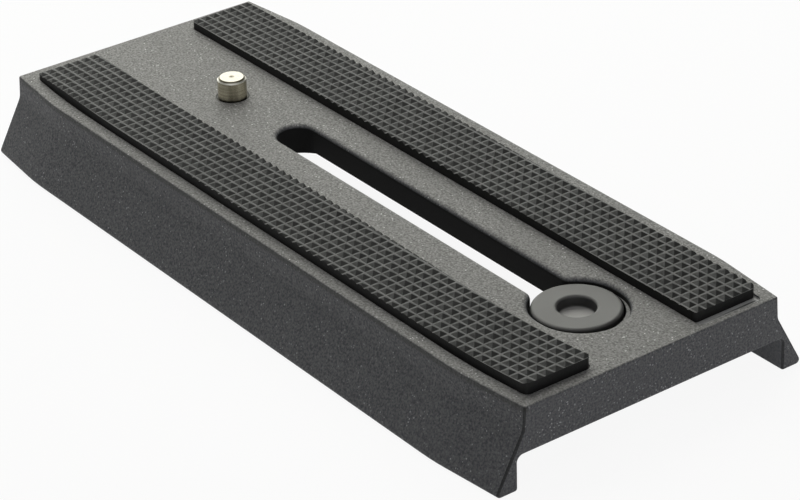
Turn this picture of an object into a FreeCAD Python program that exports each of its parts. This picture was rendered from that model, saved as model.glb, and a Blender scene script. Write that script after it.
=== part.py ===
import FreeCAD, Part
import math
import os
import re
import Sketcher

# A long sliding quick release plate for a camera, in millimetres.
# X runs along the plate, Y across it and Z up. The rails stand on z = 0, under the plate's middle.

# Driving dimensions: name, value and what it is
SIZES = [
    ("plate_length", 140.0, "whole length of the casting"),
    ("deck_width", 51.3, "width of the deck between the lead-in tapers"),
    ("deck_height", 13.5, "deck surface above the ground that the rails stand on"),
    ("deck_thickness", 7.75, "deck from its surface to the flat underside"),
    ("taper_length", 14.0, "length of the lead-in taper at each end"),
    ("end_inset", 1.4, "how far each side comes in over a taper"),
    ("lip_height", 3.9, "nearly upright side at the top of the deck"),
    ("lip_draft", 0.25, "how far that side leans out on its way down"),
    ("lip_blend", 2.5, "radius where that side runs into the flank"),
    ("flank_reach", 5.25, "how far the dovetail flank spreads on its way to the ground"),
    ("rail_gap_width", 51.2, "clear width between the rails"),
    ("bend_round", 45.0, "radius of the soft bend where a taper begins"),
    ("corner_round", 0.4, "radius of the edges round both ends, below the deck"),
    ("deck_edge_round", 0.3, "radius of the deck's top edge"),
    ("foot_round", 0.7, "radius at the widest point of a rail"),
    ("inner_foot_round", 0.5, "radius at the inner edge of a rail's foot"),
    ("under_fillet", 1.05, "fillet between a rail and the underside"),
    ("trim_overrun", 3.0, "extra length that is drawn past each end and cut off square"),
    ("pin_from_end", 30.7, "anti-twist pin from its end of the plate"),
    ("slot_from_pin", 19.1, "round end of the slot from the pin"),
    ("keyhole_from_end", 16.8, "round recess from its end of the plate"),
    ("plug_from_keyhole", 0.9, "hole of the plug, back from the round recess"),
    ("slot_width", 6.6, "long slot, clear of a quarter-inch screw"),
    ("slot_rim_round", 0.95, "radius of the top rim of the slot and the recess"),
    ("web_thickness", 4.5, "deck left above the screw-head channel"),
    ("channel_width", 16.6, "screw-head channel in the underside"),
    ("keyhole_radius", 7.4, "radius of the round recess and of the plug's hole"),
    ("ledge_depth", 1.2, "depth of the ledge inside the recess"),
    ("keyhole_corner_round", 1.6, "upright corner where the slot meets that hole"),
    ("plug_clearance", 0.4, "radial play of the plug in its hole"),
    ("plug_drop", 0.45, "plug's face below the deck"),
    ("plug_edge_round", 0.6, "radius of the plug's face edge"),
    ("plug_flange_reach", 0.75, "how far the plug's flange reaches under the web"),
    ("plug_flange_thickness", 1.3, "thickness of that flange"),
    ("dimple_radius", 3.0, "radius of the plug's dimple"),
    ("dimple_depth", 1.9, "depth of the plug's dimple"),
    ("dimple_edge_round", 0.5, "radius at the dimple's mouth"),
    ("dimple_floor_round", 0.5, "radius round the dimple's floor"),
    ("recess_depth", 0.3, "depth of the recess that holds a pad"),
    ("recess_margin", 2.35, "deck left outside a pad's recess"),
    ("recess_land", 2.35, "deck left between a pad's recess and the round recess"),
    ("recess_end_margin", 2.3, "deck left past the end of a pad's recess"),
    ("far_recess_play", 1.25, "extra length of the far pad's recess at the keyhole's end"),
    ("recess_corner_round", 1.1, "radius of a recess's corners"),
    ("pad_side_play", 1.35, "how much narrower a pad is than its recess"),
    ("pad_end_gap", 0.2, "gap between a pad's end and the recess's end"),
    ("pad_shift", 0.3, "offset of both pads and recesses towards the keyhole's end"),
    ("pad_wall_gap", 0.1, "gap between a pad and the recess wall that it lies along"),
    ("pad_rise", 1.35, "side of a pad above the deck, up to the valleys"),
    ("pad_corner_round", 0.9, "radius of a pad's corners in plan"),
    ("pad_straight", 74.0, "straight middle stretch of the bowed near pad"),
    ("pyramid_pitch_along", 1.87, "pitch of the pyramids along a pad"),
    ("pyramid_pitch_across", 1.78, "pitch of the pyramids across a pad"),
    ("pyramid_height", 0.5, "height of a pyramid above the valleys"),
    ("pyramid_turn", 0.95, "angle of the pyramid rows to a pad's edges, in degrees"),
    ("far_row_shift", 0.31, "a valley off the far pad's middle line"),
    ("near_row_shift", 0.0, "a valley off the near pad's middle line"),
    ("pin_radius", 2.5, "radius of the pin's free end"),
    ("pin_guide_radius", 2.7, "radius of the pin where it runs in the deck"),
    ("pin_shoulder_drop", 0.1, "shoulder between the two, below the deck"),
    ("pin_rise", 3.6, "pin's top above the deck"),
    ("pin_chamfer", 0.45, "chamfer round the pin's top"),
    ("pin_mark_radius", 0.35, "turned centre mark in the pin's top"),
    ("pin_mark_depth", 0.2, "depth of that mark"),
    ("pin_guide_clearance", 0.05, "radial running clearance of the pin"),
    ("pin_mouth_chamfer", 0.15, "chamfer round the pin's hole in the deck"),
    ("pin_guide_length", 1.8, "deck above the pin's flange"),
    ("pin_flange_reach", 0.9, "how far the pin's flange stands out"),
    ("pin_flange_thickness", 1.0, "thickness of the pin's flange"),
    ("pin_top_wall", 1.4, "solid end of the hollow pin"),
    ("pin_bore_radius", 1.85, "bore of the hollow pin, round the spring"),
    ("chamber_clearance", 0.2, "radial play of the flange in its chamber"),
    ("cap_thickness", 1.15, "thickness of the retaining cap"),
    ("cap_seat_reach", 0.9, "how much wider the cap's seat is than the chamber"),
    ("cap_seat_clearance", 0.03, "radial gap round the cap in its seat"),
    ("cap_chamfer", 0.2, "chamfer round the cap's lower edge"),
    ("cap_nub_radius", 0.85, "nub on the cap that centres the spring"),
    ("cap_nub_height", 0.5, "height of that nub"),
    ("spring_wire_radius", 0.19, "radius of the spring's wire"),
    ("spring_coil_radius", 1.45, "mean radius of the spring's coil"),
    ("spring_turns", 7.0, "turns of the spring"),
    ("spring_seat_gap", 0.05, "gap at each end of the spring"),
]

PARTS_FOLDER = "parts"
ORIGIN_INDEX = -1
CENTRE_INDEX = 3
UPWARD = FreeCAD.Vector(0, 0, 1)
NEAR_ZERO = 1e-4

doc = FreeCAD.newDocument("quick_release_plate")
sheet = doc.addObject("Spreadsheet::Sheet", "Sizes")
for row, (alias, value, meaning) in enumerate(SIZES, start=1):
    sheet.set("A%d" % row, alias)
    sheet.set("B%d" % row, str(value))
    sheet.set("C%d" % row, meaning)
    sheet.setAlias("B%d" % row, alias)
doc.recompute()


def size(alias):
    """The sheet's value under this alias, as a number."""
    return float(sheet.get(alias))


def bound(words):
    """An expression on the sheet, written here with bare aliases."""
    return re.sub(r"[a-z][a-z_]+", lambda hit: hit.group() if hit.group() == "atan"
                  else "Sizes." + hit.group(), words)


def value(words):
    """What such an expression comes to."""
    numbers = re.sub(r"[a-z][a-z_]+", lambda hit: repr(size(hit.group())), words)
    return FreeCAD.Units.Quantity(numbers).Value


def bind(thing, **properties):
    """Tie properties to expressions; a double underscore stands for a dot."""
    for name, words in properties.items():
        thing.setExpression(name.replace("__", "."), bound(words))


# Sketches


def new_body(label):
    body = doc.addObject("PartDesign::Body", label)
    body.Label = label
    return body


def origin_plane(body, role):
    return [item for item in body.Origin.OriginFeatures if item.Role == role][0]


def new_sketch(body, name, role="XY_Plane", level="0"):
    """A sketch on one of the body's own origin planes, raised to a level."""
    sketch = body.newObject("Sketcher::SketchObject", name)
    sketch.AttachmentSupport = (origin_plane(body, role), [""])
    sketch.MapMode = "FlatFace"
    if level != "0":
        sketch.setExpression("AttachmentOffset.Base.z", bound(level))
    return sketch


def bind_constraint(sketch, words, kind, *where):
    index = sketch.addConstraint(Sketcher.Constraint(kind, *where, value(words)))
    sketch.setExpression("Constraints[%d]" % index, bound(words))


def place_point(sketch, item, end, across, up):
    """Hold a point of the sketch at two expressions from the origin."""
    bind_constraint(sketch, across, "DistanceX", ORIGIN_INDEX, 1, item, end)
    bind_constraint(sketch, up, "DistanceY", ORIGIN_INDEX, 1, item, end)


def closed_outline(sketch, corners):
    """Straight sides through corners, each a pair of expressions. Returns the first side's number."""
    first = sketch.GeometryCount
    count = len(corners)
    ring = [FreeCAD.Vector(value(across), value(up)) for across, up in corners]
    for step in range(count):
        sketch.addGeometry(Part.LineSegment(ring[step], ring[(step + 1) % count]))
    for step in range(count):
        following = first + (step + 1) % count
        sketch.addConstraint(Sketcher.Constraint("Coincident", first + step, 2, following, 1))
    for step, (across, up) in enumerate(corners):
        place_point(sketch, first + step, 1, across, up)
    doc.recompute()
    return first


def round_corner(sketch, side, radius):
    """An arc where a side ends; the sharp corner stays as a point that holds the sides."""
    sketch.fillet(side, 2, value(radius), True, True)
    arc = [number for number, item in enumerate(sketch.Geometry)
           if item.TypeId == "Part::GeomArcOfCircle"][-1]
    bind_constraint(sketch, radius, "Radius", arc)


def circle_on_axis(sketch, centre, radius):
    """A circle centred on the sketch's X axis."""
    middle = FreeCAD.Vector(value(centre), 0)
    item = sketch.addGeometry(Part.Circle(middle, UPWARD, value(radius)))
    place_point(sketch, item, CENTRE_INDEX, centre, "0")
    bind_constraint(sketch, radius, "Radius", item)


def round_ended_slot(sketch, left, right, radius):
    """A slot along the X axis between two centres."""
    quarter = math.pi / 2
    half_width = FreeCAD.Vector(0, value(radius))
    start = FreeCAD.Vector(value(left), 0)
    finish = FreeCAD.Vector(value(right), 0)
    left_circle = Part.Circle(start, UPWARD, half_width.y)
    right_circle = Part.Circle(finish, UPWARD, half_width.y)
    left_arc = sketch.addGeometry(Part.ArcOfCircle(left_circle, quarter, 3 * quarter))
    right_arc = sketch.addGeometry(Part.ArcOfCircle(right_circle, -quarter, quarter))
    low = sketch.addGeometry(Part.LineSegment(start - half_width, finish - half_width))
    high = sketch.addGeometry(Part.LineSegment(finish + half_width, start + half_width))
    for before, after in ((left_arc, low), (low, right_arc), (right_arc, high), (high, left_arc)):
        sketch.addConstraint(Sketcher.Constraint("Tangent", before, 2, after, 1))
    sketch.addConstraint(Sketcher.Constraint("Equal", left_arc, right_arc))
    place_point(sketch, left_arc, CENTRE_INDEX, left, "0")
    place_point(sketch, right_arc, CENTRE_INDEX, right, "0")
    bind_constraint(sketch, radius, "Radius", left_arc)


# Features


def add_pad(body, name, sketch, length, downward=False, taper=None):
    feature = body.newObject("PartDesign::Pad", name)
    feature.Profile = sketch
    feature.Reversed = downward
    bind(feature, Length=length)
    if taper:
        bind(feature, TaperAngle=taper)
    return feature


def cut_pocket(body, name, sketch, depth, upward=False):
    """A pocket that has to take material away."""
    doc.recompute()
    before = body.Shape.Volume
    feature = body.newObject("PartDesign::Pocket", name)
    feature.Profile = sketch
    feature.Reversed = upward
    bind(feature, Length=depth)
    doc.recompute()
    if not body.Shape.Volume < before:
        raise ValueError(name + " cuts nothing")
    return feature


def round_edges(body, name, radius, wanted, kind="PartDesign::Fillet", setting="Radius"):
    """Round or chamfer the body's edges that a test picks out."""
    doc.recompute()
    base = body.Tip
    edges = ["Edge%d" % (number + 1) for number, edge in enumerate(base.Shape.Edges) if wanted(edge)]
    if not edges:
        raise ValueError(name + " finds no edge")
    feature = body.newObject(kind, name)
    feature.Base = (base, edges)
    bind(feature, **{setting: radius})
    doc.recompute()
    if feature.Shape.isNull() or not feature.Shape.isValid():
        raise ValueError(name + " leaves no sound shape")
    return feature


def revolve(body, name, corners):
    """A turned piece: corners are radius and height."""
    sketch = new_sketch(body, name + "_profile", "XZ_Plane")
    closed_outline(sketch, corners)
    feature = body.newObject("PartDesign::Revolution", name)
    feature.Profile = sketch
    feature.ReferenceAxis = (sketch, ["V_Axis"])
    feature.Angle = 360.0
    doc.recompute()
    return feature


def flat_at(edge, level):
    """True for an edge that lies wholly at one height."""
    box = edge.BoundBox
    return abs(box.ZMin - level) < NEAR_ZERO and abs(box.ZMax - level) < NEAR_ZERO


# Places along the plate that several pieces share

PIN_X = "-(plate_length / 2 - pin_from_end)"
SLOT_X = "-(plate_length / 2 - pin_from_end) + slot_from_pin"
KEYHOLE_X = "plate_length / 2 - keyhole_from_end"
PLUG_X = "plate_length / 2 - keyhole_from_end - plug_from_keyhole"
UNDERSIDE = "deck_height - deck_thickness"
CHAMBER_RADIUS = "pin_guide_radius + pin_flange_reach + chamber_clearance"


# Plate casting


def plate_outline(sketch, outward):
    """The deck's plan with its tapered ends, moved out by an expression and run past both ends."""
    end_x = "plate_length / 2 + trim_overrun"
    bend_x = "plate_length / 2 - taper_length"
    side_y = "deck_width / 2 + " + outward
    end_y = side_y + " - end_inset * (taper_length + trim_overrun) / taper_length"
    corners = [("-(%s)" % end_x, "-(%s)" % end_y), ("-(%s)" % bend_x, "-(%s)" % side_y),
               (bend_x, "-(%s)" % side_y), (end_x, "-(%s)" % end_y),
               (end_x, end_y), (bend_x, side_y),
               ("-(%s)" % bend_x, side_y), ("-(%s)" % end_x, end_y)]
    closed_outline(sketch, corners)
    for side in (0, 1, 4, 5):
        round_corner(sketch, side, "bend_round")


casting = new_body("plate_casting")

deck_plan = new_sketch(casting, "deck_plan", level="deck_height - lip_height")
plate_outline(deck_plan, "lip_draft")
add_pad(casting, "deck_lip", deck_plan, "lip_height", taper="-atan(lip_draft / lip_height)")
add_pad(casting, "dovetail_flank", deck_plan, "deck_height - lip_height", downward=True,
        taper="atan(flank_reach / (deck_height - lip_height))")

GAP_END = "plate_length / 2 + trim_overrun"
rail_gap = new_sketch(casting, "rail_gap")
closed_outline(rail_gap, [("-(%s)" % GAP_END, "-rail_gap_width / 2"), (GAP_END, "-rail_gap_width / 2"),
                          (GAP_END, "rail_gap_width / 2"), ("-(%s)" % GAP_END, "rail_gap_width / 2")])
cut_pocket(casting, "between_the_rails", rail_gap, UNDERSIDE, upward=True)

deck_level = size("deck_height")
underside_level = deck_level - size("deck_thickness")
lip_level = deck_level - size("lip_height")
end_x = size("plate_length") / 2
rail_inner_y = size("rail_gap_width") / 2


def runs_along(edge):
    return edge.BoundBox.XLength > edge.BoundBox.YLength


def long_edge_at(level, outside):
    """A test for the long edges at a height, outside the rails' inner sides or on them."""
    def wanted(edge):
        return (flat_at(edge, level) and runs_along(edge)
                and outside == (abs(edge.CenterOfMass.y) > rail_inner_y + NEAR_ZERO))
    return wanted


round_edges(casting, "foot_rounding", "foot_round", long_edge_at(0, True))
round_edges(casting, "inner_foot_rounding", "inner_foot_round", long_edge_at(0, False))
round_edges(casting, "underside_fillet", "under_fillet", long_edge_at(underside_level, False))
round_edges(casting, "lip_blending", "lip_blend",
            lambda edge: flat_at(edge, lip_level) and runs_along(edge))

end_trim = new_sketch(casting, "end_trim")
trim_start = "plate_length / 2"
trim_end = "plate_length / 2 + trim_overrun + 2 * flank_reach"
trim_side = "deck_width"
for near_end, far_end in ((trim_start, trim_end), ("-(%s)" % trim_end, "-(%s)" % trim_start)):
    closed_outline(end_trim, [(near_end, "-" + trim_side), (far_end, "-" + trim_side),
                              (far_end, trim_side), (near_end, trim_side)])
cut_pocket(casting, "square_ends", end_trim, "deck_height + 1", upward=True)


def end_corner(edge):
    """The outer profile of the plate's four corners, from the deck down to the feet."""
    box = edge.BoundBox
    on_end = abs(abs(edge.CenterOfMass.x) - end_x) < NEAR_ZERO and box.XLength < NEAR_ZERO
    above_foot = box.ZMax > 2 * size("foot_round") and box.ZLength > NEAR_ZERO
    inner_side = box.ZMax < underside_level + NEAR_ZERO and abs(edge.CenterOfMass.y) < rail_inner_y + NEAR_ZERO
    return on_end and above_foot and not inner_side


round_edges(casting, "corner_rounding", "corner_round", end_corner)
round_edges(casting, "deck_rounding", "deck_edge_round", lambda edge: flat_at(edge, deck_level))

recess_plan = new_sketch(casting, "pad_recess_plan", level="deck_height")
RECESS_END = "plate_length / 2 - recess_end_margin"
RECESS_START = "2 * pad_shift - (plate_length / 2 - recess_end_margin)"
RECESS_OUTER = "deck_width / 2 - recess_margin"
RECESS_INNER = "keyhole_radius + recess_land"
RECESS_WIDTH = "deck_width / 2 - recess_margin - keyhole_radius - recess_land"
RECESS_END_OUTER = RECESS_OUTER + " - end_inset * (taper_length - recess_end_margin) / taper_length"
bend_x = "plate_length / 2 - taper_length"
closed_outline(recess_plan, [(RECESS_START, RECESS_INNER), (RECESS_END, RECESS_INNER),
                             (RECESS_END, RECESS_END_OUTER), (bend_x, RECESS_OUTER),
                             ("-(%s)" % bend_x, RECESS_OUTER), (RECESS_START, RECESS_END_OUTER)])
for side, radius in enumerate(("recess_corner_round", "recess_corner_round", "bend_round",
                               "bend_round", "recess_corner_round", "recess_corner_round")):
    round_corner(recess_plan, side, radius)
far_recess = cut_pocket(casting, "far_pad_recess", recess_plan, "recess_depth")

near_recess = casting.newObject("PartDesign::Mirrored", "near_pad_recess")
near_recess.Originals = [far_recess]
near_recess.MirrorPlane = (origin_plane(casting, "XZ_Plane"), [""])
casting.Tip = near_recess

play_plan = new_sketch(casting, "recess_play_plan", level="deck_height")
PLAY_START = RECESS_END + " - 2 * recess_corner_round"
PLAY_END = RECESS_END + " + far_recess_play"
closed_outline(play_plan, [(PLAY_START, RECESS_INNER), (PLAY_END, RECESS_INNER),
                           (PLAY_END, RECESS_END_OUTER), (PLAY_START, RECESS_END_OUTER)])
for side in (0, 1):
    round_corner(play_plan, side, "recess_corner_round")
cut_pocket(casting, "far_recess_end", play_plan, "recess_depth")

slot_plan = new_sketch(casting, "slot_plan", level="deck_height")
round_ended_slot(slot_plan, SLOT_X, PLUG_X, "slot_width / 2")
cut_pocket(casting, "long_slot", slot_plan, "deck_thickness + 1")

channel_plan = new_sketch(casting, "channel_plan", level=UNDERSIDE)
round_ended_slot(channel_plan, SLOT_X, PLUG_X, "channel_width / 2")
cut_pocket(casting, "screw_head_channel", channel_plan, "deck_thickness - web_thickness", upward=True)

plug_hole_plan = new_sketch(casting, "plug_hole_plan", level="deck_height")
circle_on_axis(plug_hole_plan, PLUG_X, "keyhole_radius")
cut_pocket(casting, "plug_hole", plug_hole_plan, "deck_thickness + 1")

keyhole_plan = new_sketch(casting, "keyhole_plan", level="deck_height")
round_ended_slot(keyhole_plan, PLUG_X, KEYHOLE_X, "keyhole_radius")
cut_pocket(casting, "keyhole_recess", keyhole_plan, "ledge_depth")

pin_hole_plan = new_sketch(casting, "pin_hole_plan", level="deck_height")
circle_on_axis(pin_hole_plan, PIN_X, "pin_guide_radius + pin_guide_clearance")
cut_pocket(casting, "pin_hole", pin_hole_plan, "deck_thickness + 1")

chamber_plan = new_sketch(casting, "chamber_plan", level=UNDERSIDE)
circle_on_axis(chamber_plan, PIN_X, CHAMBER_RADIUS)
cut_pocket(casting, "pin_chamber", chamber_plan, "deck_thickness - pin_guide_length", upward=True)

seat_plan = new_sketch(casting, "cap_seat_plan", level=UNDERSIDE)
circle_on_axis(seat_plan, PIN_X, CHAMBER_RADIUS + " + cap_seat_reach")
cut_pocket(casting, "cap_seat", seat_plan, "cap_thickness", upward=True)

plug_x = end_x - size("keyhole_from_end") - size("plug_from_keyhole")
pin_x = size("pin_from_end") - end_x
slot_half = size("slot_width") / 2
slot_left = pin_x + size("slot_from_pin") - size("slot_width")
slot_right = end_x - size("keyhole_from_end") + size("keyhole_radius") + NEAR_ZERO


def keyhole_corner(edge):
    """The two upright corners where the slot runs into the plug's hole."""
    box = edge.BoundBox
    return (box.ZLength > size("ledge_depth") and box.XLength + box.YLength < NEAR_ZERO
            and abs(abs(edge.CenterOfMass.y) - slot_half) < NEAR_ZERO
            and slot_left < edge.CenterOfMass.x < plug_x)


def slot_rim(edge):
    return (flat_at(edge, deck_level) and slot_left < edge.BoundBox.XMin
            and edge.BoundBox.XMax < slot_right and abs(edge.CenterOfMass.y) < rail_inner_y / 2)


def pin_mouth(edge):
    box = edge.BoundBox
    return flat_at(edge, deck_level) and abs((box.XMin + box.XMax) / 2 - pin_x) < NEAR_ZERO


round_edges(casting, "keyhole_corners", "keyhole_corner_round", keyhole_corner)
round_edges(casting, "slot_rim", "slot_rim_round", slot_rim)
round_edges(casting, "pin_mouth", "pin_mouth_chamfer", pin_mouth, "PartDesign::Chamfer", "Size")

# Anti-twist pin, with its spring and the cap that holds them in


def set_place(thing, x="0", y="0", z="0"):
    """Bind where a piece stands in the shared frame."""
    bind(thing, Placement__Base__x=x, Placement__Base__y=y, Placement__Base__z=z)


pin = new_body("anti_twist_pin")
FLANGE_TOP = "-pin_guide_length"
FLANGE_BOTTOM = "-(pin_guide_length + pin_flange_thickness)"
revolve(pin, "pin_turning", [
    ("0", "pin_rise - pin_mark_depth"),
    ("pin_mark_radius", "pin_rise"),
    ("pin_radius - pin_chamfer", "pin_rise"),
    ("pin_radius", "pin_rise - pin_chamfer"),
    ("pin_radius", "-pin_shoulder_drop"),
    ("pin_guide_radius", "-pin_shoulder_drop"),
    ("pin_guide_radius", FLANGE_TOP),
    ("pin_guide_radius + pin_flange_reach", FLANGE_TOP),
    ("pin_guide_radius + pin_flange_reach", FLANGE_BOTTOM),
    ("pin_bore_radius", FLANGE_BOTTOM),
    ("pin_bore_radius", "pin_rise - pin_top_wall"),
    ("0", "pin_rise - pin_top_wall")])
set_place(pin, x=PIN_X, z="deck_height")

cap = new_body("pin_retaining_cap")
CAP_RADIUS = CHAMBER_RADIUS + " + cap_seat_reach - cap_seat_clearance"
CAP_TOP = "cap_thickness + cap_nub_height"
revolve(cap, "cap_turning", [
    ("0", "0"),
    (CAP_RADIUS + " - cap_chamfer", "0"),
    (CAP_RADIUS, "cap_chamfer"),
    (CAP_RADIUS, "cap_thickness"),
    ("cap_nub_radius", "cap_thickness"),
    ("cap_nub_radius", CAP_TOP),
    ("0", CAP_TOP)])
set_place(cap, x=PIN_X, z=UNDERSIDE)

SPRING_FOOT = UNDERSIDE + " + cap_thickness + spring_wire_radius + spring_seat_gap"
SPRING_HEIGHT = ("deck_thickness + pin_rise - pin_top_wall - cap_thickness"
                 " - 2 * (spring_wire_radius + spring_seat_gap)")
coil = doc.addObject("Part::Helix", "spring_coil")
bind(coil, Radius="spring_coil_radius", Height=SPRING_HEIGHT,
     Pitch="(" + SPRING_HEIGHT + ") / spring_turns")
wire = doc.addObject("Part::Circle", "spring_wire")
bind(wire, Radius="spring_wire_radius", Placement__Base__x="spring_coil_radius")
wire.Placement.Rotation = FreeCAD.Rotation(FreeCAD.Vector(1, 0, 0), 90)
spring = doc.addObject("Part::Sweep", "pin_spring")
spring.Label = "pin_spring"
spring.Sections = [wire]
spring.Spine = (coil, [])
spring.Solid = True
spring.Frenet = True
set_place(spring, x=PIN_X, z=SPRING_FOOT)

# Plug that fills the wide end of the slot

plug = new_body("slot_plug")
PLUG_RADIUS = "keyhole_radius - plug_clearance"
FLANGE_RADIUS = "keyhole_radius + plug_flange_reach"
WEB_BOTTOM = "-(web_thickness - plug_drop)"
PLUG_BOTTOM = "-(web_thickness - plug_drop + plug_flange_thickness)"
revolve(plug, "plug_turning", [
    ("0", "-dimple_depth"),
    ("dimple_radius", "-dimple_depth"),
    ("dimple_radius", "0"),
    (PLUG_RADIUS, "0"),
    (PLUG_RADIUS, WEB_BOTTOM),
    (FLANGE_RADIUS, WEB_BOTTOM),
    (FLANGE_RADIUS, PLUG_BOTTOM),
    ("0", PLUG_BOTTOM)])


def circle_at(radius, level=0):
    """A test for the plug's circle of this radius at a height."""
    return lambda edge: flat_at(edge, level) and abs(edge.BoundBox.XMax - radius) < NEAR_ZERO


round_edges(plug, "plug_face_rounding", "plug_edge_round", circle_at(value(PLUG_RADIUS)))
round_edges(plug, "dimple_rounding", "dimple_edge_round", circle_at(size("dimple_radius")))
round_edges(plug, "dimple_floor", "dimple_floor_round",
            circle_at(size("dimple_radius"), -size("dimple_depth")))
set_place(plug, x=PLUG_X, z="deck_height - plug_drop")

# Rubber pads with their field of pyramids


PAD_HALF = "(" + RECESS_WIDTH + " - pad_side_play) / 2"
PAD_HALF_LENGTH = RECESS_END + " - pad_shift - pad_end_gap"


def facing_up(face):
    return face if face.normalAt(0, 0).z > 0 else face.reversed()


def pyramid_sheet(columns, rows, pitch_x, pitch_y, height, depth):
    """A slab under a field of touching pyramids. The valleys lie at z = 0."""
    start_x = -columns * pitch_x / 2
    start_y = -rows * pitch_y / 2
    knots = [[Part.Vertex(start_x + i * pitch_x, start_y + j * pitch_y, 0)
              for j in range(rows + 1)] for i in range(columns + 1)]
    along = [[Part.Edge(knots[i][j], knots[i + 1][j]) for j in range(rows + 1)]
             for i in range(columns)]
    across = [[Part.Edge(knots[i][j], knots[i][j + 1]) for j in range(rows)]
              for i in range(columns + 1)]
    faces = []
    for i in range(columns):
        for j in range(rows):
            tip = Part.Vertex(start_x + (i + 0.5) * pitch_x, start_y + (j + 0.5) * pitch_y, height)
            corners = (knots[i][j], knots[i + 1][j], knots[i + 1][j + 1], knots[i][j + 1])
            ridges = [Part.Edge(corner, tip) for corner in corners]
            feet = (along[i][j], across[i + 1][j], along[i][j + 1], across[i][j])
            for side, foot in enumerate(feet):
                rim = Part.Wire([foot, ridges[(side + 1) % 4], ridges[side]])
                faces.append(facing_up(Part.Face(rim)))
    borders = ([across[0][j] for j in range(rows)], [along[i][rows] for i in range(columns)],
               [across[columns][j] for j in range(rows)], [along[i][0] for i in range(columns)])
    top_corners = (knots[0][0], knots[0][rows], knots[columns][rows], knots[columns][0])
    floor_corners = [Part.Vertex(knot.X, knot.Y, -depth) for knot in top_corners]
    posts = [Part.Edge(top, low) for top, low in zip(top_corners, floor_corners)]
    sills = [Part.Edge(floor_corners[side], floor_corners[(side + 1) % 4]) for side in range(4)]
    for side, border in enumerate(borders):
        ring = border + [posts[side], sills[side], posts[(side + 1) % 4]]
        faces.append(Part.Face(Part.Wire(Part.__sortEdges__(ring))))
    faces.append(Part.Face(Part.Wire(sills)))
    solid = Part.Solid(Part.Shell(faces))
    if solid.Volume < 0:
        solid = solid.reversed()
    return solid


def long_edge(half_length, y, bow, straight_half):
    """One long side of a pad, from -x to +x: straight, or bending in at both ends by the bow."""
    def at(x, height):
        return FreeCAD.Vector(x, height)
    if not bow:
        return [Part.makeLine(at(-half_length, y), at(half_length, y))]
    reach = half_length - straight_half
    middle_fall = bow / 4
    left = Part.Arc(at(-half_length, y + bow), at(-straight_half - reach / 2, y + middle_fall),
                    at(-straight_half, y))
    right = Part.Arc(at(straight_half, y), at(straight_half + reach / 2, y + middle_fall),
                     at(half_length, y + bow))
    return [left.toShape(), Part.makeLine(at(-straight_half, y), at(straight_half, y)),
            right.toShape()]


def rubber_pad(label, bow, row_shift):
    """A strip about its own middle, with its rows of pyramids turned a little to its edges."""
    half_length = value(PAD_HALF_LENGTH)
    half_width = value(PAD_HALF)
    straight_half = size("pad_straight") / 2
    depth = size("recess_depth") + size("pad_rise")
    height = size("pyramid_height")
    lower = long_edge(half_length, -half_width, bow, straight_half)
    upper = long_edge(half_length, half_width, bow, straight_half)
    ends = [Part.makeLine(FreeCAD.Vector(x, bow - half_width), FreeCAD.Vector(x, bow + half_width))
            for x in (-half_length, half_length)]
    outline = Part.Face(Part.Wire(Part.__sortEdges__(lower + upper + ends)))
    strip = outline.extrude(FreeCAD.Vector(0, 0, depth + 2 * height))
    upright = [edge for edge in strip.Edges
               if edge.BoundBox.ZLength > depth and abs(abs(edge.CenterOfMass.x) - half_length) < NEAR_ZERO]
    strip = strip.makeFillet(size("pad_corner_round"), upright)
    strip.translate(FreeCAD.Vector(0, 0, -depth))

    pitch_x = size("pyramid_pitch_along")
    pitch_y = size("pyramid_pitch_across")
    spill = 2 * half_length * math.sin(math.radians(size("pyramid_turn")))
    columns = math.ceil(2 * half_length / pitch_x) + 2
    rows = math.ceil((2 * half_width + 2 * bow + spill) / pitch_y) + 2
    rows += rows % 2
    sheet_of_pyramids = pyramid_sheet(columns, rows, pitch_x, pitch_y, height, depth)
    sheet_of_pyramids.rotate(FreeCAD.Vector(), UPWARD, size("pyramid_turn"))
    sheet_of_pyramids.translate(FreeCAD.Vector(0, row_shift))
    pad = doc.addObject("Part::Feature", label)
    pad.Label = label
    pad.Shape = sheet_of_pyramids.common(strip).Solids[0]
    return pad


PAD_VALLEYS = "deck_height + pad_rise"
far_pad = rubber_pad("far_pad", 0, size("far_row_shift"))
set_place(far_pad, x="pad_shift", y=RECESS_INNER + " + pad_wall_gap + " + PAD_HALF, z=PAD_VALLEYS)

taper = size("taper_length")
near_bow = size("end_inset") * (taper - end_x + value(PAD_HALF_LENGTH)) / taper
near_pad = rubber_pad("near_pad", near_bow, size("near_row_shift"))
set_place(near_pad, x="pad_shift", y="-(" + RECESS_OUTER + " - pad_wall_gap - " + PAD_HALF + ")",
          z=PAD_VALLEYS)

# Checks and files

doc.recompute()
for item in doc.Objects:
    if "Invalid" in item.State or "Error" in item.State:
        raise ValueError("%s did not compute" % item.Label)
os.makedirs(PARTS_FOLDER, exist_ok=True)
for piece in (casting, near_pad, far_pad, pin, spring, cap, plug):
    if piece.Shape.isNull() or not piece.Shape.isValid() or len(piece.Shape.Solids) != 1:
        raise ValueError("%s is not one sound solid" % piece.Label)
    piece.Shape.exportStep("%s/%s.step" % (PARTS_FOLDER, piece.Label))
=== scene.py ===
import bmesh
import bpy
import math
import random
from mathutils import Matrix, Vector


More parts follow.
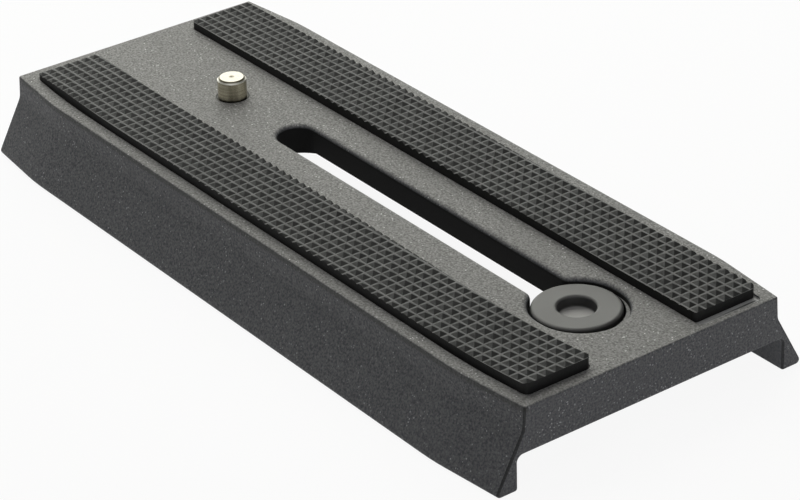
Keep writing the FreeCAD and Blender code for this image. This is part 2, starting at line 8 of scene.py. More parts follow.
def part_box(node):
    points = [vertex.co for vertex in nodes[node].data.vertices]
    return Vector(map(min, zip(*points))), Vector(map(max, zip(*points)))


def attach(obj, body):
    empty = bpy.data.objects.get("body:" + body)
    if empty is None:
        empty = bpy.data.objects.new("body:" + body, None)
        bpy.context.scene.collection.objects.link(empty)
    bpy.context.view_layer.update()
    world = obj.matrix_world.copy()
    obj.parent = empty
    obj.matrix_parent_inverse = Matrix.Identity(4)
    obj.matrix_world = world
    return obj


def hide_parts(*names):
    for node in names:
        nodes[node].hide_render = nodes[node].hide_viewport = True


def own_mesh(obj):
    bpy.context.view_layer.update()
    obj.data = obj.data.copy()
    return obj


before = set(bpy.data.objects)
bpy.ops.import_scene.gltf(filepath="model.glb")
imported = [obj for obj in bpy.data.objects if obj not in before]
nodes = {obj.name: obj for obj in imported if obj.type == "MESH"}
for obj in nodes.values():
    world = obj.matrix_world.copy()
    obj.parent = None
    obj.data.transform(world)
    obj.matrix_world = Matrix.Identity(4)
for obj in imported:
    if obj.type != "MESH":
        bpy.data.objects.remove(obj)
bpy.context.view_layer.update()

MM = 0.001
scene = bpy.context.scene

# Camera, from the plate's edges in the photograph

CAMERA_PLACE = (0.3450, -0.2440, 0.2358)
CAMERA_TURN = Vector((1.91798, 0.93867, -0.58869))

camera_data = bpy.data.cameras.new("camera")
camera_data.sensor_width = 36.0
camera_data.lens = 133.043
camera_data.shift_x = -0.00073
camera_data.shift_y = 0.00059
camera_data.clip_start = 0.01
camera = bpy.data.objects.new("camera", camera_data)
scene.collection.objects.link(camera)
right, down, forward = Matrix.Rotation(CAMERA_TURN.length, 3, CAMERA_TURN)
camera_axes = Matrix((right, -down, -forward)).transposed()
camera.matrix_world = Matrix.Translation(CAMERA_PLACE) @ camera_axes.to_4x4()
scene.camera = camera

# Where each mask on the coat runs from nothing to its full effect, in metres from the middle of
# the plate's foot, or in parts of a face's unit normal

END_EDGES_X = (69.0 * MM, 69.4 * MM)
END_EDGES_SLANT = (0.12, 0.3)
UPRIGHT = (0.75, 0.4)
INNER_WALLS_X = (63.0 * MM, 62.5 * MM)
INNER_WALLS_Y = (8.7 * MM, 8.5 * MM)
INNER_WALLS_Z = (13.35 * MM, 12.85 * MM)
RAIL_INSIDES_Y = (-12.0 * MM, -18.0 * MM)
UNDER_RIM_Y = (23.5 * MM, 23.7 * MM)
UNDER_RIM_Z = (12.35 * MM, 12.85 * MM)
UNDER_RIM_SLANT = (0.75, 0.45)
RECESS_LINE_X = 68.32 * MM
RECESS_LINE_OFF = (0.24 * MM, 0.12 * MM)
RECESS_LINE_INNER_Y = (11.0 * MM, 19.0 * MM)
RECESS_LINE_OUTER_Y = (21.4 * MM, 21.0 * MM)
RECESS_BASE_Z = (13.0 * MM, 13.1 * MM)
RECESS_TOP_Z = (13.35 * MM, 13.28 * MM)
RECESS_START_X = (67.4 * MM, 67.6 * MM)
RECESS_STOP_X = (68.9 * MM, 68.8 * MM)
RECESS_INNER_Y = (9.8 * MM, 10.0 * MM)
RECESS_OUTER_Y = (21.8 * MM, 21.6 * MM)

# How strong some of them get

END_EDGES_SHADE_MOST = 0.8
RAIL_INSIDES_LIGHT_MOST = 0.3
UNDER_RIM_SHADE_MOST = 0.5
RECESS_LINE_SPAN = (0.1, 0.9)

# Materials


class Nodes:
    """A small helper that writes one node material."""

    def __init__(self, name):
        self.material = bpy.data.materials.new(name)
        self.material.use_nodes = True
        self.tree = self.material.node_tree
        self.tree.nodes.clear()
        self.output = self.tree.nodes.new("ShaderNodeOutputMaterial")

    def feed(self, socket, value):
        """Link a node's output to a socket, or give the socket a plain value."""
        if isinstance(value, bpy.types.NodeSocket):
            self.tree.links.new(value, socket)
        else:
            socket.default_value = value

    def add(self, kind, inputs=None, **settings):
        node = self.tree.nodes.new("ShaderNode" + kind)
        for name, value in settings.items():
            setattr(node, name, value)
        for name, value in (inputs or {}).items():
            self.feed(node.inputs[name], value)
        return node

    def math(self, operation, one, two=0.0):
        return self.add("Math", {0: one, 1: two}, operation=operation).outputs[0]

    def product(self, first, *others):
        for other in others:
            first = self.math("MULTIPLY", first, other)
        return first

    def blend(self, factor, one, two):
        """The first colour at factor 0 and the second at 1."""
        return self.add("Mix", {0: factor, 6: one, 7: two}, data_type="RGBA").outputs[2]

    def finish(self, shader):
        self.feed(self.output.inputs["Surface"], shader.outputs[0])
        return self.material


class PieceNodes(Nodes):
    """The same for a piece, with the point on it in metres and the face's normal there."""

    def __init__(self, name):
        super().__init__(name)
        coordinates = self.add("TexCoord").outputs
        self.place = coordinates["Object"]
        self.spot = self.parts(self.place)
        self.normal = self.parts(coordinates["Normal"])

    def parts(self, vector):
        return self.add("SeparateXYZ", {0: vector}).outputs

    def noise(self, scale, detail, roughness=0.55, stretch=None):
        place = self.place
        if stretch:
            place = self.add("VectorMath", {0: place, 1: stretch}, operation="MULTIPLY").outputs[0]
        return self.add("TexNoise", {"Vector": place, "Scale": scale, "Detail": detail,
                                     "Roughness": roughness}).outputs["Fac"]

    def ramp(self, value, low, high, to_low=0.0, to_high=1.0):
        return self.add("MapRange", {"Value": value, "From Min": low, "From Max": high,
                                     "To Min": to_low, "To Max": to_high}).outputs["Result"]

    def end_edges_shade(self):
        """The narrow rounded edges that stand round both ends of the plate, darkened as painted
        shade.
        """
        slant = self.math("ABSOLUTE", self.product(self.normal[0], self.normal[1]))
        along = self.math("ABSOLUTE", self.spot[0])
        return self.product(self.ramp(slant, *END_EDGES_SLANT, 0.0, END_EDGES_SHADE_MOST),
                            self.ramp(along, *END_EDGES_X))

    def inner_walls(self):
        """The walls of the slot and of the round recess, under the deck's rim, which take painted
        shade and a rougher finish.
        """
        return self.product(self.ramp(self.spot[2], *INNER_WALLS_Z),
                            self.ramp(self.math("ABSOLUTE", self.normal[2]), *UPRIGHT),
                            self.ramp(self.math("ABSOLUTE", self.spot[1]), *INNER_WALLS_Y),
                            self.ramp(self.math("ABSOLUTE", self.spot[0]), *INNER_WALLS_X))

    def rail_insides_light(self):
        """The rails' inner faces, made paler with painted bounce light."""
        return self.ramp(self.product(self.spot[1], self.normal[1]),
                         *RAIL_INSIDES_Y, 0.0, RAIL_INSIDES_LIGHT_MOST)

    def under_rim_shade(self):
        """A painted shade line along the top of the plate's long sides, under the deck's rim."""
        return self.product(self.ramp(self.spot[2], *UNDER_RIM_Z, 0.0, UNDER_RIM_SHADE_MOST),
                            self.ramp(self.normal[2], *UNDER_RIM_SLANT),
                            self.ramp(self.math("ABSOLUTE", self.spot[1]), *UNDER_RIM_Y))

    def recess_end_shadow(self):
        """A thin painted shadow line at the end of the far pad's recess."""
        off = self.math("ABSOLUTE", self.math("SUBTRACT", self.spot[0], RECESS_LINE_X))
        return self.product(self.ramp(off, *RECESS_LINE_OFF),
                            self.ramp(self.spot[2], *RECESS_BASE_Z),
                            self.ramp(self.spot[1], *RECESS_LINE_INNER_Y, *RECESS_LINE_SPAN),
                            self.ramp(self.spot[1], *RECESS_LINE_OUTER_Y))

    def recess_floor_light(self):
        """The strip of that recess's floor which the pad leaves bare, where painted light lifts
        the pad's shadow.
        """
        return self.product(self.ramp(self.spot[2], *RECESS_BASE_Z),
                            self.ramp(self.spot[2], *RECESS_TOP_Z),
                            self.ramp(self.spot[0], *RECESS_START_X),
                            self.ramp(self.spot[0], *RECESS_STOP_X),
                            self.ramp(self.spot[1], *RECESS_INNER_Y),
                            self.ramp(self.spot[1], *RECESS_OUTER_Y))

    def bump(self, height, distance, strength):
        return self.add("Bump", {"Height": height, "Distance": distance,
                                 "Strength": strength}).outputs["Normal"]

    def surface(self, inputs):
        return self.finish(self.add("BsdfPrincipled", inputs))


def grey(level, warm=0.0):
    """A linear grey, a little warmer where asked."""
    return (level * (1 + warm), level, level * (1 - warm), 1.0)


# A noise is its scale and detail, with a roughness where that isn't the usual one. A range maps
# its first two numbers to 0 and 1, or to its other two. A relief is a depth and a strength.

NOISE_MIDDLE = (0.35, 0.65)
NOISE_WIDE = (0.3, 0.7)
WARMTH = 0.02

COAT_CLOUDS = (60, 3)
COAT_CLOUDS_MOST = 0.2
COAT_GRAIN = (2800, 2, 0.6)
COAT_GRAIN_RANGE = (0.34, 0.66)
COAT_RELIEF = (0.05 * MM, 0.8)
COAT_ROUGHNESS = (0.62, 0.46)
COAT_SHINE = 0.2

COAT_DARK = grey(0.13, WARMTH)
COAT_PALE = grey(0.325, WARMTH)
COAT_CLOUD = grey(0.17, WARMTH)
FLAKE = grey(0.95)
FLAKE_MOST = 0.85
FLAKE_SCALE = 2600.0
FLAKE_DISTANCE = (0.38, 0.22)
FLAKE_CHANCE = (0.87, 0.93)
FLAKE_PATCHES = (260, 2)
FLAKE_PATCHES_RANGE = (0.42, 0.62, 0.2, 1.0)
LEVEL_FACES = (0.6, 0.95)
# Painted shade: faces that are not level take a darker bluish colour, as the plate's sides lie in
# shade
FLANK_PAINTED_SHADE = (0.0, 0.010, 0.038, 1)
FLANK_SHADE_MOST = 0.38
# Painted light that makes the rails' inner faces paler
RAIL_INSIDES_PAINTED_LIGHT = (0.50, 0.51, 0.54, 1)
# Painted light on the bare strip of the recess floor
RECESS_FLOOR_PAINTED_LIGHT = grey(0.8)
RECESS_FLOOR_LIGHT_MOST = 0.6
# Painted shade under the rim of the long sides
UNDER_RIM_PAINTED_SHADE = (0.055, 0.055, 0.045, 1)
# Painted shadow along the end of the far pad's recess
RECESS_LINE_PAINTED_SHADOW = grey(0.03)
# Painted shade on the rounded edges at both ends
END_EDGES_PAINTED_SHADE = grey(0.02)
# Painted shade on the walls of the slot and the round recess
INNER_WALLS_PAINTED_SHADE = grey(0.014)
INNER_WALLS_ROUGHNESS = 0.8


def textured_coat():
    """Dark powder coat with a fine orange-peel grain and small bright flakes, with painted shade
    and painted light on some of its faces and edges.
    """
    n = PieceNodes("textured_coat")
    grain = n.noise(*COAT_GRAIN)
    cloud = n.ramp(n.noise(*COAT_CLOUDS), *NOISE_MIDDLE, 0.0, COAT_CLOUDS_MOST)
    base = n.blend(n.ramp(grain, *COAT_GRAIN_RANGE), COAT_DARK, COAT_PALE)
    base = n.blend(cloud, base, COAT_CLOUD)
    flakes = n.add("TexVoronoi", {"Vector": n.place, "Scale": FLAKE_SCALE}, feature="F1").outputs
    near_middle = n.ramp(flakes["Distance"], *FLAKE_DISTANCE)
    chance = n.add("SeparateColor", {"Color": flakes["Color"]}).outputs[0]
    chosen = n.ramp(chance, *FLAKE_CHANCE)
    patches = n.ramp(n.noise(*FLAKE_PATCHES), *FLAKE_PATCHES_RANGE)
    walls = n.inner_walls()
    for factor, tint in (
            (n.product(near_middle, chosen, patches, FLAKE_MOST), FLAKE),
            (n.ramp(n.normal[2], *LEVEL_FACES, FLANK_SHADE_MOST, 0.0), FLANK_PAINTED_SHADE),
            (n.rail_insides_light(), RAIL_INSIDES_PAINTED_LIGHT),
            (n.product(n.recess_floor_light(), RECESS_FLOOR_LIGHT_MOST), RECESS_FLOOR_PAINTED_LIGHT),
            (n.under_rim_shade(), UNDER_RIM_PAINTED_SHADE),
            (n.recess_end_shadow(), RECESS_LINE_PAINTED_SHADOW),
            (n.end_edges_shade(), END_EDGES_PAINTED_SHADE),
            (walls, INNER_WALLS_PAINTED_SHADE)):
        base = n.blend(factor, base, tint)
    return n.surface({
        "Base Color": base,
        "Roughness": n.math("MAXIMUM", n.ramp(grain, *NOISE_WIDE, *COAT_ROUGHNESS),
                            n.product(walls, INNER_WALLS_ROUGHNESS)),
        "Specular IOR Level": COAT_SHINE,
        "Normal": n.bump(grain, *COAT_RELIEF)})


RUBBER_DARK = grey(0.018)
RUBBER_PALE = grey(0.027)
# Painted shade on the pad's upright walls
RUBBER_WALLS_SHADE = grey(0.007)
# Painted light on the pyramids' near (-y) faces
NEAR_FACE_LIGHT_DARK = grey(0.036)
NEAR_FACE_LIGHT_PALE = grey(0.076)
# Painted highlight on the pad's level flats
FLAT_HIGHLIGHT_DARK = grey(0.10)
FLAT_HIGHLIGHT_PALE = grey(0.165)
RUBBER_CLOUDS = (90, 4)
RUBBER_GRAIN = (2600, 2)
NEAR_FACE_LIGHT_NOISE = (1100, 2)
FLAT_HIGHLIGHT_NOISE = (900, 2)
NEAR_FACES = (-0.3, -0.5)
WALL_FACES = (0.25, 0.05)
FLAT_FACES = (0.93, 0.99)
RUBBER_RELIEF = (0.05 * MM, 0.8)
RUBBER_ROUGHNESS = (0.52, 0.64)
RUBBER_SHINE = 0.3


def pad_rubber():
    """Black moulded rubber, with painted light on the pyramids' near faces, a painted highlight on
    the flats and painted shade on the walls.
    """
    n = PieceNodes("pad_rubber")
    cloud = n.noise(*RUBBER_CLOUDS)
    near_face_light = n.blend(n.ramp(n.noise(*NEAR_FACE_LIGHT_NOISE), *NOISE_MIDDLE), NEAR_FACE_LIGHT_DARK, NEAR_FACE_LIGHT_PALE)
    flat_highlight = n.blend(n.ramp(n.noise(*FLAT_HIGHLIGHT_NOISE), *NOISE_MIDDLE), FLAT_HIGHLIGHT_DARK, FLAT_HIGHLIGHT_PALE)
    base = n.blend(n.ramp(cloud, *NOISE_MIDDLE), RUBBER_DARK, RUBBER_PALE)
    base = n.blend(n.ramp(n.normal[1], *NEAR_FACES), base, near_face_light)
    base = n.blend(n.ramp(n.normal[2], *WALL_FACES), base, RUBBER_WALLS_SHADE)
    base = n.blend(n.ramp(n.normal[2], *FLAT_FACES), base, flat_highlight)
    return n.surface({
        "Base Color": base,
        "Roughness": n.ramp(cloud, *NOISE_WIDE, *RUBBER_ROUGHNESS),
        "Specular IOR Level": RUBBER_SHINE,
        "Normal": n.bump(n.noise(*RUBBER_GRAIN), *RUBBER_RELIEF)})


PLATING_PALE = (0.49, 0.46, 0.405, 1)
PLATING_DARK = (0.43, 0.40, 0.345, 1)
PLATING_CLOUDS = (900, 3)
PLATING_CLOUDS_RANGE = (0.35, 0.7)
PLATING_ROUGHNESS = (0.25, 0.45)
RINGS_RELIEF = (0.012 * MM, 0.4)
STREAKS_ROUND = (900, 2)
STREAKS_ROUND_STRETCH = (0.1, 0.1, 5.0)
STREAKS_ROUND_RANGE = (0.36, 0.64, 0.55, 1.0)
STREAKS_DOWN = (620, 1)
STREAKS_DOWN_STRETCH = (1, 1, 0.04)
STREAKS_DOWN_RANGE = (0.40, 0.62, 0.25, 1.0)
SIDE_FACES = (0.5, 0.2)
CHAMFER_FROM_SIDE = (0.5, 0.6)
CHAMFER_FROM_TOP = (0.95, 0.85)
PIN_RING = (1.6 * MM, 1.8 * MM)
PIN_RING_TINT = (0.49, 0.47, 0.415, 1)
PIN_MARK = (0.55 * MM, 0.3 * MM)
PIN_SHADE = (0.22, 0.20, 0.15, 1)
PIN_SIDE_DARK = (0.30, 0.27, 0.19, 1)
PIN_SIDE_PALE = (1.0, 0.94, 0.74, 1)
# Painted highlight on the pin's top chamfer
PIN_CHAMFER_HIGHLIGHT = (0.93, 0.91, 0.83, 1)
# Painted shade in a thin ring at the top of the chamfer
PIN_EDGE_SHADE_Z = (16.84 * MM, 16.90 * MM)
PIN_EDGE_SHADE = (0.20, 0.18, 0.13, 1)
# Painted shade on the pin at the hole's mouth and down inside the hole
PIN_MOUTH_Z = (13.70 * MM, 13.50 * MM)
PIN_HOLE_Z = (13.45 * MM, 13.42 * MM)
PIN_HOLE_SHADE = (0.03, 0.03, 0.025, 1)


def pin_plating(middle_x):
    """Bright turned plating, warm, with fine tool rings round the pin's own axis, a painted
    highlight on the top chamfer and painted shade at the chamfer's upper edge, at the mouth and
    down in the hole.
    """
    n = PieceNodes("pin_plating")
    centred = n.add("VectorMath", {0: n.place, 1: (middle_x, 0, 0)},
                    operation="SUBTRACT").outputs[0]
    rings = n.add("TexWave", {"Vector": centred, "Scale": 900.0, "Distortion": 1.5,
                              "Detail": 2.0, "Detail Scale": 3.0},
                  wave_type="RINGS", rings_direction="Z").outputs["Fac"]
    off = n.parts(centred)
    radius = n.math("SQRT", n.math("ADD", n.product(off[0], off[0]), n.product(off[1], off[1])))
    streaks_round = n.noise(*STREAKS_ROUND, stretch=STREAKS_ROUND_STRETCH)
    streaks_down = n.noise(*STREAKS_DOWN, stretch=STREAKS_DOWN_STRETCH)
    streaks = n.product(n.ramp(streaks_round, *STREAKS_ROUND_RANGE),
                        n.ramp(streaks_down, *STREAKS_DOWN_RANGE))
    side = n.blend(streaks, PIN_SIDE_DARK, PIN_SIDE_PALE)
    slanted = n.product(n.ramp(n.normal[2], *CHAMFER_FROM_SIDE),
                        n.ramp(n.normal[2], *CHAMFER_FROM_TOP))
    height = n.spot[2]
    cloud = n.ramp(n.noise(*PLATING_CLOUDS), *PLATING_CLOUDS_RANGE)
    base = n.blend(cloud, PLATING_PALE, PLATING_DARK)
    for factor, tint in (
            (n.ramp(radius, *PIN_RING), PIN_RING_TINT),
            (n.ramp(radius, *PIN_MARK), PIN_SHADE),
            (n.ramp(n.normal[2], *SIDE_FACES), side),
            (slanted, PIN_CHAMFER_HIGHLIGHT),
            (n.product(slanted, n.ramp(height, *PIN_EDGE_SHADE_Z)), PIN_EDGE_SHADE),
            (n.ramp(height, *PIN_MOUTH_Z), PIN_SHADE),
            (n.ramp(height, *PIN_HOLE_Z), PIN_HOLE_SHADE)):
        base = n.blend(factor, base, tint)
    return n.surface({
        "Base Color": base,
        "Metallic": 1.0,
        "Roughness": n.ramp(slanted, 0.0, 1.0, *PLATING_ROUGHNESS),
        "Normal": n.bump(rings, *RINGS_RELIEF)})


PLUG_DARK = grey(0.112, WARMTH)
PLUG_PALE = grey(0.132, WARMTH)
PLUG_CLOUDS = (160, 4)
PLUG_GRAIN = (5200, 2)
PLUG_RELIEF = (0.012 * MM, 0.5)
PLUG_ROUGHNESS = (0.44, 0.56)
# Painted shade on the dimple's wall
DIMPLE_WALL_FACES = (0.7, 0.3)
DIMPLE_WALL_Z = (12.95 * MM, 12.7 * MM)
DIMPLE_WALL_SHADE = grey(0.05)
# Painted light on the dimple's floor
DIMPLE_FLOOR_FACES = (0.6, 0.9)
DIMPLE_FLOOR_Z = (11.8 * MM, 11.3 * MM)
DIMPLE_FLOOR_LIGHT = grey(0.46, WARMTH)


def plug_plastic():
    """Smooth grey moulding with a soft sheen and faint handling marks, painted shade on the
    dimple's wall and painted light on its floor.
    """
    n = PieceNodes("plug_plastic")
    cloud = n.noise(*PLUG_CLOUDS)
    dimple_wall = n.product(n.ramp(n.normal[2], *DIMPLE_WALL_FACES),
                            n.ramp(n.spot[2], *DIMPLE_WALL_Z))
    dimple_floor = n.product(n.ramp(n.normal[2], *DIMPLE_FLOOR_FACES),
                             n.ramp(n.spot[2], *DIMPLE_FLOOR_Z))
    base = n.blend(n.ramp(cloud, *NOISE_MIDDLE), PLUG_DARK, PLUG_PALE)
    base = n.blend(dimple_wall, base, DIMPLE_WALL_SHADE)
    base = n.blend(dimple_floor, base, DIMPLE_FLOOR_LIGHT)
    return n.surface({
        "Base Color": base,
        "Roughness": n.ramp(cloud, *NOISE_WIDE, *PLUG_ROUGHNESS),
        "Normal": n.bump(n.noise(*PLUG_GRAIN), *PLUG_RELIEF)})


STEEL_CLOUDS_DETAIL = 4
STEEL_DARKENING = 0.8
SCRATCH_FINENESS = 3
SCRATCH_DETAIL = 2
SCRATCH_STRETCH = (1, 1, 12)
SCRATCH_RELIEF = (0.008 * MM, 0.4)


def drawn_steel(name, level, smooth, rough, scale):
    """Plain steel, drawn or pressed, a little uneven."""
    n = PieceNodes(name)
    cloud = n.noise(scale, STEEL_CLOUDS_DETAIL)
    scratch = n.noise(scale * SCRATCH_FINENESS, SCRATCH_DETAIL, stretch=SCRATCH_STRETCH)
    return n.surface({
        "Base Color": n.blend(n.ramp(cloud, *NOISE_WIDE), grey(level),
                              grey(level * STEEL_DARKENING)),
        "Metallic": 1.0,
        "Roughness": n.ramp(cloud, *NOISE_WIDE, smooth, rough),
        "Normal": n.bump(scratch, *SCRATCH_RELIEF)})


pin_low, pin_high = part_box("anti_twist_pin")
rubber = pad_rubber()
spring_steel = drawn_steel("spring_steel", 0.5, 0.25, 0.4, 900)
for node_name, material in (
        ("plate_casting", textured_coat()),
        ("anti_twist_pin", pin_plating((pin_low.x + pin_high.x) / 2)),
        ("slot_plug", plug_plastic()),
        ("pin_retaining_cap", drawn_steel("cap_steel", 0.45, 0.3, 0.45, 400))):
    for slot in nodes[node_name].material_slots:
        slot.material = material


def place_mesh(name, mesh, material):
    mesh.materials.append(material)
    piece = bpy.data.objects.new(name, mesh)
    scene.collection.objects.link(piece)
    return piece


def mesh_object(name, bm, material):
    mesh = bpy.data.meshes.new(name)
    bm.to_mesh(mesh)
    bm.free()
    return place_mesh(name, mesh, material)


# Rubber pads: a field of four-sided pyramids between flat valleys

PITCH_ALONG = 1.87 * MM
PITCH_ACROSS = 1.78 * MM
VALLEY = 0.28 * MM
PYRAMID_HEIGHT = 0.50 * MM
RIDGE = 0.05 * MM
TIP = 0.16 * MM
CROWN_HEIGHT = 0.05 * MM
RISE_LOSS_MM = 0.06
LEAN_MM = 0.05
ROW_TURN = math.radians(0.95)
FAR_ROW_SHIFT = 0.31 * MM
CORNER_ROUND = 0.9 * MM
CORNER_STEPS = 6
CUT_TOLERANCE = 1e-7
BEND_START = 37.0 * MM
NEAR_LIFT = 0.4 * MM
NEAR_SINK = 0.5 * MM
LIFT_LENGTH = 14 * MM
SINK_LENGTH = 11 * MM
SINK_POWER = 1.5


def pyramid_cell(bm, knots, i, j, centre, rng):
    """One pyramid with softened ridges and its share of the valleys."""
    half_x = (PITCH_ALONG - VALLEY) / 2
    half_y = (PITCH_ACROSS - VALLEY) / 2
    tip = TIP / 2
    rise = PYRAMID_HEIGHT + rng.uniform(-RISE_LOSS_MM, 0.0) * MM
    lean = Vector((rng.uniform(-LEAN_MM, LEAN_MM), rng.uniform(-LEAN_MM, LEAN_MM), 0)) * MM

    def ring(wide_x, wide_y, z):
        points = []
        for sx, sy in ((-1, -1), (1, -1), (1, 1), (-1, 1)):
            pair = [Vector((sx * (wide_x - RIDGE), sy * wide_y, z)),
                    Vector((sx * wide_x, sy * (wide_y - RIDGE), z))]
            points += pair if sx != sy else pair[::-1]
        return [bm.verts.new(centre + point + (lean if z else Vector())) for point in points]

    foot = ring(half_x, half_y, 0)
    crown = ring(tip, tip, rise - CROWN_HEIGHT)
    top = bm.verts.new(centre + lean + Vector((0, 0, rise)))
    for k in range(8):
        after = (k + 1) % 8
        bm.faces.new((foot[k], foot[after], crown[after], crown[k]))
        bm.faces.new((crown[k], crown[after], top))
    corners = (knots[i][j], knots[i + 1][j], knots[i + 1][j + 1], knots[i][j + 1])
    for side in range(4):
        here = 2 * side
        bm.faces.new((corners[side], foot[here + 1], foot[here]))
        bm.faces.new((corners[side], corners[(side + 1) % 4], foot[(here + 2) % 8],
                      foot[here + 1]))


def rubber_pad(name, low, high, row_shift, seed, bow=0.0, lift=0.0, sink=0.0):
    """The pad in its node's box, bowed towards -y, lifted at +x and sunk at -x where asked."""
    rng = random.Random(seed)
    half_length = (high.x - low.x) / 2
    half_width = (high.y - low.y - bow) / 2
    valley_level = high.z - PYRAMID_HEIGHT
    spill = half_length * math.sin(ROW_TURN)
    columns = 2 * (int(half_length / PITCH_ALONG) + 2)
    rows = 2 * (int((half_width + spill) / PITCH_ACROSS) + 2)
    bm = bmesh.new()

    def field_point(i, j):
        return Vector(((i - columns / 2) * PITCH_ALONG, (j - rows / 2) * PITCH_ACROSS, 0))

    knots = [[bm.verts.new(field_point(i, j)) for j in range(rows + 1)]
             for i in range(columns + 1)]
    for i in range(columns):
        for j in range(rows):
            pyramid_cell(bm, knots, i, j, field_point(i + 0.5, j + 0.5), rng)
    bmesh.ops.rotate(bm, verts=bm.verts, cent=(0, 0, 0),
                     matrix=Matrix.Rotation(ROW_TURN, 3, "Z"))
    bmesh.ops.translate(bm, verts=bm.verts, vec=(0, row_shift, 0))

    def trim(point, direction):
        everything = bm.verts[:] + bm.edges[:] + bm.faces[:]
        bmesh.ops.bisect_plane(bm, geom=everything, plane_co=point, plane_no=direction,
                               clear_outer=True, dist=CUT_TOLERANCE)

    for sign in (1, -1):
        trim((sign * half_length, 0, 0), (sign, 0, 0))
    for sign in (1, -1):
        trim((0, sign * half_width, 0), (0, sign, 0))
    for sx in (-1, 1):
        for sy in (-1, 1):
            middle = Vector((sx * (half_length - CORNER_ROUND),
                             sy * (half_width - CORNER_ROUND), 0))
            for step in range(1, CORNER_STEPS):
                angle = math.radians(90 * step / CORNER_STEPS)
                outward = Vector((sx * math.cos(angle), sy * math.sin(angle), 0))
                trim(middle + outward * CORNER_ROUND, outward)

    rim = [edge for edge in bm.edges if edge.is_boundary]
    wall = bmesh.ops.extrude_edge_only(bm, edges=rim)["geom"]
    low_edge = [item for item in wall if isinstance(item, bmesh.types.BMEdge) and item.is_boundary]
    bottom = {vert for edge in low_edge for vert in edge.verts}
    for vert in bottom:
        vert.co.z = low.z - valley_level
    bmesh.ops.edgeloop_fill(bm, edges=low_edge)
    reach = half_length - BEND_START
    for vert in bm.verts:
        past = max(0.0, abs(vert.co.x) - BEND_START)
        lifted = max(0.0, (vert.co.x - half_length) / LIFT_LENGTH + 1)
        sunk = max(0.0, (-vert.co.x - half_length) / SINK_LENGTH + 1)
        vert.co.y += bow * (past / reach) ** 2 - bow / 2
        if vert not in bottom:
            vert.co.z += lift * lifted ** 2 - sink * sunk ** SINK_POWER
    bmesh.ops.recalc_face_normals(bm, faces=bm.faces)
    middle = (low + high) / 2
    bmesh.ops.translate(bm, verts=bm.verts, vec=(middle.x, middle.y, valley_level))
    return mesh_object(name, bm, rubber)


far_low, far_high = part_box("far_pad")
near_low, near_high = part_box("near_pad")
near_bow = (near_high.y - near_low.y) - (far_high.y - far_low.y)
far_pad = rubber_pad("far_grip", far_low, far_high, FAR_ROW_SHIFT, 3)
near_pad = rubber_pad("near_grip", near_low, near_high, 0.0, 4,
                      bow=near_bow, lift=NEAR_LIFT, sink=NEAR_SINK)
for pad, node_name in ((far_pad, "far_pad"), (near_pad, "near_pad")):
    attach(pad, "plate")
    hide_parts(node_name)

# Spring inside the pin

SPRING_WIRE = 0.19 * MM
SPRING_TURNS = 7
STEPS_PER_TURN = 20

spring_low, spring_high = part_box("pin_spring")
spring_length = spring_high.z - spring_low.z
spring_x = (spring_low.x + spring_high.x) / 2
coil_radius = (spring_high.x - spring_low.x) / 2 - SPRING_WIRE
foot_z = spring_low.z + SPRING_WIRE
climb = spring_length - 2 * SPRING_WIRE
coil = bpy.data.curves.new("coil", "CURVE")
coil.dimensions = "3D"
coil.bevel_depth = SPRING_WIRE
coil.bevel_resolution = 3
coil.use_fill_caps = True
coil.resolution_u = 3
steps = SPRING_TURNS * STEPS_PER_TURN
spline = coil.splines.new("NURBS")
spline.points.add(steps)
for step, point in enumerate(spline.points):
    angle = 2 * math.pi * SPRING_TURNS * step / steps
    point.co = (spring_x + coil_radius * math.cos(angle), coil_radius * math.sin(angle),
                foot_z + climb * step / steps, 1)
spline.order_u = 4
spline.use_endpoint_u = True
shape = bpy.data.objects.new("coil", coil)
spring_mesh = bpy.data.meshes.new_from_object(shape)
bpy.data.objects.remove(shape)
spring_mesh.materials.clear()
for polygon in spring_mesh.polygons:
    polygon.use_smooth = True
spring = place_mesh("coil_spring", spring_mesh, spring_steel)
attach(spring, "plate")
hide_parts("pin_spring")
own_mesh(spring)

# Floor and a low round wall of white paper

FLOOR_SIZE = 6.0
WALL_RADIUS = 0.49 * FLOOR_SIZE
WALL_HEIGHT = 0.4
WALL_SIDES = 64
WHITE = (1, 1, 1)
PAPER_FOR_LAMPS = grey(0.65)
PAPER_SEEN = grey(0.90)
GLOW_SHARE = 0.92

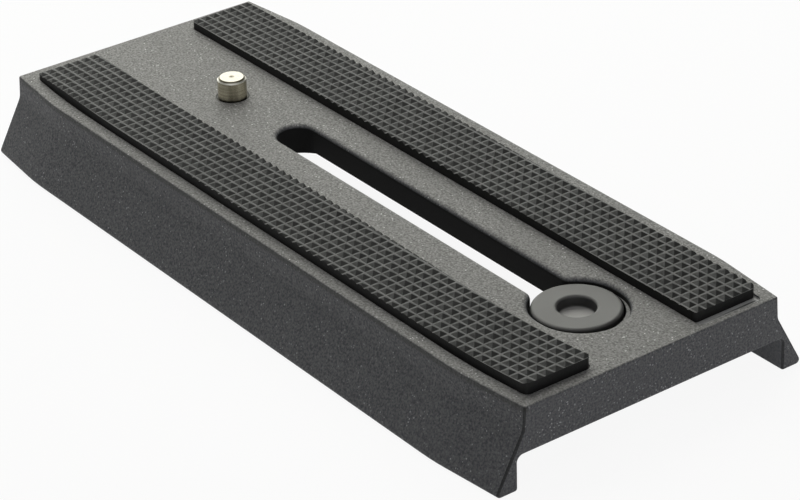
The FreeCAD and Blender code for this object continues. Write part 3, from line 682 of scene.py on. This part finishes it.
paper = Nodes("paper")
rays = paper.add("LightPath").outputs
seen = paper.math("MAXIMUM", rays["Is Transmission Ray"],
                  paper.math("MAXIMUM", rays["Is Camera Ray"], rays["Is Glossy Ray"]))
lit = paper.add("BsdfDiffuse", {"Color": paper.blend(seen, PAPER_FOR_LAMPS, PAPER_SEEN)})
glow = paper.add("Emission", {"Color": (*WHITE, 1), "Strength": 1.0})
paper.finish(paper.add("MixShader", {0: paper.product(seen, GLOW_SHARE), 1: lit.outputs[0],
                                     2: glow.outputs[0]}))
floor_mesh = bmesh.new()
bmesh.ops.create_grid(floor_mesh, x_segments=1, y_segments=1, size=FLOOR_SIZE / 2)
floor = mesh_object("floor", floor_mesh, paper.material)
wall_mesh = bmesh.new()
bmesh.ops.create_cone(wall_mesh, cap_ends=False, segments=WALL_SIDES, radius1=WALL_RADIUS,
                      radius2=WALL_RADIUS, depth=WALL_HEIGHT,
                      matrix=Matrix.Translation((0, 0, WALL_HEIGHT / 2)))
mesh_object("wall", wall_mesh, paper.material)

# World and lamps

world = bpy.data.worlds.new("studio")
world.use_nodes = True
background = world.node_tree.nodes["Background"].inputs
background["Color"].default_value = (0.96, 0.98, 1, 1)
background["Strength"].default_value = 0.03
scene.world = world

# Each lamp: name, degrees round from the camera's side, elevation in degrees, distance, width
# and height in metres, power in watts, colour
LAMPS = (
    ("back", 190, 38, 0.5, 0.65, 0.75, 3.45, (0.985, 1.0, 0.93)),
    ("overhead", 190, 80, 0.95, 0.8, 0.8, 1.0, WHITE),
    ("side", 20, 5, 1.5, 1.0, 0.5, 3.8, (0.97, 0.98, 1.0)),
    ("kicker", 0, 61, 1.0, 1.0, 0.3, 0.9, WHITE))


def softbox(name, azimuth, elevation, distance, width, height, power, tint):
    """An area lamp aimed at the plate, placed by its direction as seen from the plate."""
    a, e = math.radians(azimuth), math.radians(elevation)
    outward = Vector((math.cos(e) * math.cos(a), math.cos(e) * math.sin(a), math.sin(e)))
    lamp_data = bpy.data.lights.new(name, "AREA")
    lamp_data.shape = "RECTANGLE"
    lamp_data.size = width
    lamp_data.size_y = height
    lamp_data.energy = power
    lamp_data.color = tint
    lamp = bpy.data.objects.new(name, lamp_data)
    scene.collection.objects.link(lamp)
    lamp.location = outward * distance
    lamp.rotation_euler = outward.to_track_quat("Z", "Y").to_euler()


camera_side = math.degrees(math.atan2(CAMERA_PLACE[1], CAMERA_PLACE[0]))
for name, azimuth, *settings in LAMPS:
    softbox(name, camera_side + azimuth, *settings)

scene.view_settings.view_transform = "Standard"
